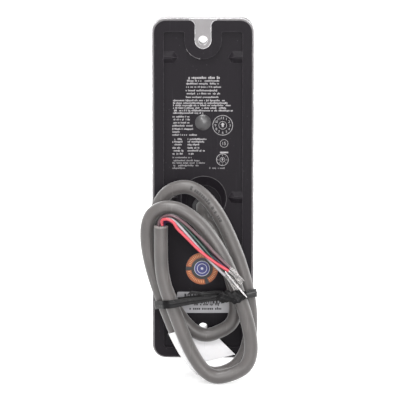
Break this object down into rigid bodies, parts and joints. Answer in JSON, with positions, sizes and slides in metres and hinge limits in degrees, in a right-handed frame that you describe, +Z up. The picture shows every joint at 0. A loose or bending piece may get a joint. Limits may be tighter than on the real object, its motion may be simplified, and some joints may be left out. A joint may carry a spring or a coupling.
{
  "type": "keypad card reader",
  "caption": "Narrow metal-fronted keypad card reader for a door frame, with a black back plate and a grey cable tied in a coil behind it.",
  "frame": {"origin": "centre of the back plate's rim, on the wall plane", "axes": "+Y out of the back towards the wall, +Z up, +X to the right when looking along +Y at the keys"},
  "size_m": [0.0537, 0.0411, 0.1519],
  "materials": {
    "cover_metal": "satin bead blasted",
    "plate_plastic": "fine moulded grain",
    "seal_rubber": "matt",
    "mat_rubber": "matt",
    "sensor_disc": "plain",
    "board": "solder mask, satin",
    "screw_steel": "zinc plated",
    "spacer_brass": "turned",
    "connector_plastic": "matt",
    "chip_plastic": "matt",
    "chip_ceramic": "matt",
    "buzzer_plastic": "matt",
    "status_lens": "diffusing",
    "light_chip": "gloss",
    "window_plastic": "satin",
    "aerial_copper": "enamelled copper",
    "ferrite": "matt",
    "tamper_lens": "smoke, polished",
    "gland_rubber": "matt",
    "wire_core": "soft sleeve",
    "cable_jacket": "soft PVC, satin",
    "tinned_wire": "tinned strands",
    "tie_plastic": "soft PVC",
    "tag_paper": "paper",
    "label_paper": "coated paper",
    "seal_print": "printed foil",
    "key_metal": "satin",
    "wire_red_sleeve": "soft PVC",
    "wire_purple_sleeve": "soft PVC",
    "wire_brown_sleeve": "soft PVC",
    "wire_green_sleeve": "soft PVC",
    "wire_black_sleeve": "soft PVC",
    "wire_white_sleeve": "soft PVC"
  },
  "bodies": {
    "reader": {"aerial_coil": "aerial_copper", "back_label": "label_paper", "back_plate": "plate_plastic", "board_header": "connector_plastic", "board_screws": "screw_steel", "board_spacers": "spacer_brass", "buzzer": "buzzer_plastic", "cable_coil": "cable_jacket", "cable_gland": "gland_rubber", "cable_tag": "tag_paper", "controller_chip": "chip_plastic", "drain_wire": "tinned_wire", "ferrite_sheet": "ferrite", "front_board": "board", "front_cover": "cover_metal", "inner_wires": "wire_core", "key_mat": "mat_rubber", "key_sensors": "sensor_disc", "main_board": "board", "radio_chip": "chip_plastic", "reader_window": "window_plastic", "round_seal": "seal_print", "seal_gasket": "seal_rubber", "small_parts": "chip_ceramic", "spacer_screws": "screw_steel", "status_leds": "light_chip", "status_lens": "status_lens", "tamper_lens": "tamper_lens", "tamper_sensor": "chip_plastic", "twist_tie": "tie_plastic", "wire_black": "wire_black_sleeve", "wire_brown": "wire_brown_sleeve", "wire_green": "wire_green_sleeve", "wire_purple": "wire_purple_sleeve", "wire_red": "wire_red_sleeve", "wire_tips": "tinned_wire", "wire_white": "wire_white_sleeve"},
    "key_1_cap": {"key_1": "key_metal"},
    "key_2_cap": {"key_2": "key_metal"},
    "key_3_cap": {"key_3": "key_metal"},
    "key_4_cap": {"key_4": "key_metal"},
    "key_5_cap": {"key_5": "key_metal"},
    "key_6_cap": {"key_6": "key_metal"},
    "key_7_cap": {"key_7": "key_metal"},
    "key_8_cap": {"key_8": "key_metal"},
    "key_9_cap": {"key_9": "key_metal"},
    "key_star_cap": {"key_star": "key_metal"},
    "key_0_cap": {"key_0": "key_metal"},
    "key_hash_cap": {"key_hash": "key_metal"}
  },
  "joints": [
    {"name": "key_1_press", "type": "slide", "parent": "reader", "child": "key_1_cap", "axis": [0, 1, 0], "range_m": [0, 0.0004], "stiffness_N_per_m": 3000},
    {"name": "key_2_press", "type": "slide", "parent": "reader", "child": "key_2_cap", "axis": [0, 1, 0], "range_m": [0, 0.0004], "stiffness_N_per_m": 3000},
    {"name": "key_3_press", "type": "slide", "parent": "reader", "child": "key_3_cap", "axis": [0, 1, 0], "range_m": [0, 0.0004], "stiffness_N_per_m": 3000},
    {"name": "key_4_press", "type": "slide", "parent": "reader", "child": "key_4_cap", "axis": [0, 1, 0], "range_m": [0, 0.0004], "stiffness_N_per_m": 3000},
    {"name": "key_5_press", "type": "slide", "parent": "reader", "child": "key_5_cap", "axis": [0, 1, 0], "range_m": [0, 0.0004], "stiffness_N_per_m": 3000},
    {"name": "key_6_press", "type": "slide", "parent": "reader", "child": "key_6_cap", "axis": [0, 1, 0], "range_m": [0, 0.0004], "stiffness_N_per_m": 3000},
    {"name": "key_7_press", "type": "slide", "parent": "reader", "child": "key_7_cap", "axis": [0, 1, 0], "range_m": [0, 0.0004], "stiffness_N_per_m": 3000},
    {"name": "key_8_press", "type": "slide", "parent": "reader", "child": "key_8_cap", "axis": [0, 1, 0], "range_m": [0, 0.0004], "stiffness_N_per_m": 3000},
    {"name": "key_9_press", "type": "slide", "parent": "reader", "child": "key_9_cap", "axis": [0, 1, 0], "range_m": [0, 0.0004], "stiffness_N_per_m": 3000},
    {"name": "key_star_press", "type": "slide", "parent": "reader", "child": "key_star_cap", "axis": [0, 1, 0], "range_m": [0, 0.0004], "stiffness_N_per_m": 3000},
    {"name": "key_0_press", "type": "slide", "parent": "reader", "child": "key_0_cap", "axis": [0, 1, 0], "range_m": [0, 0.0004], "stiffness_N_per_m": 3000},
    {"name": "key_hash_press", "type": "slide", "parent": "reader", "child": "key_hash_cap", "axis": [0, 1, 0], "range_m": [0, 0.0004], "stiffness_N_per_m": 3000}
  ]
}
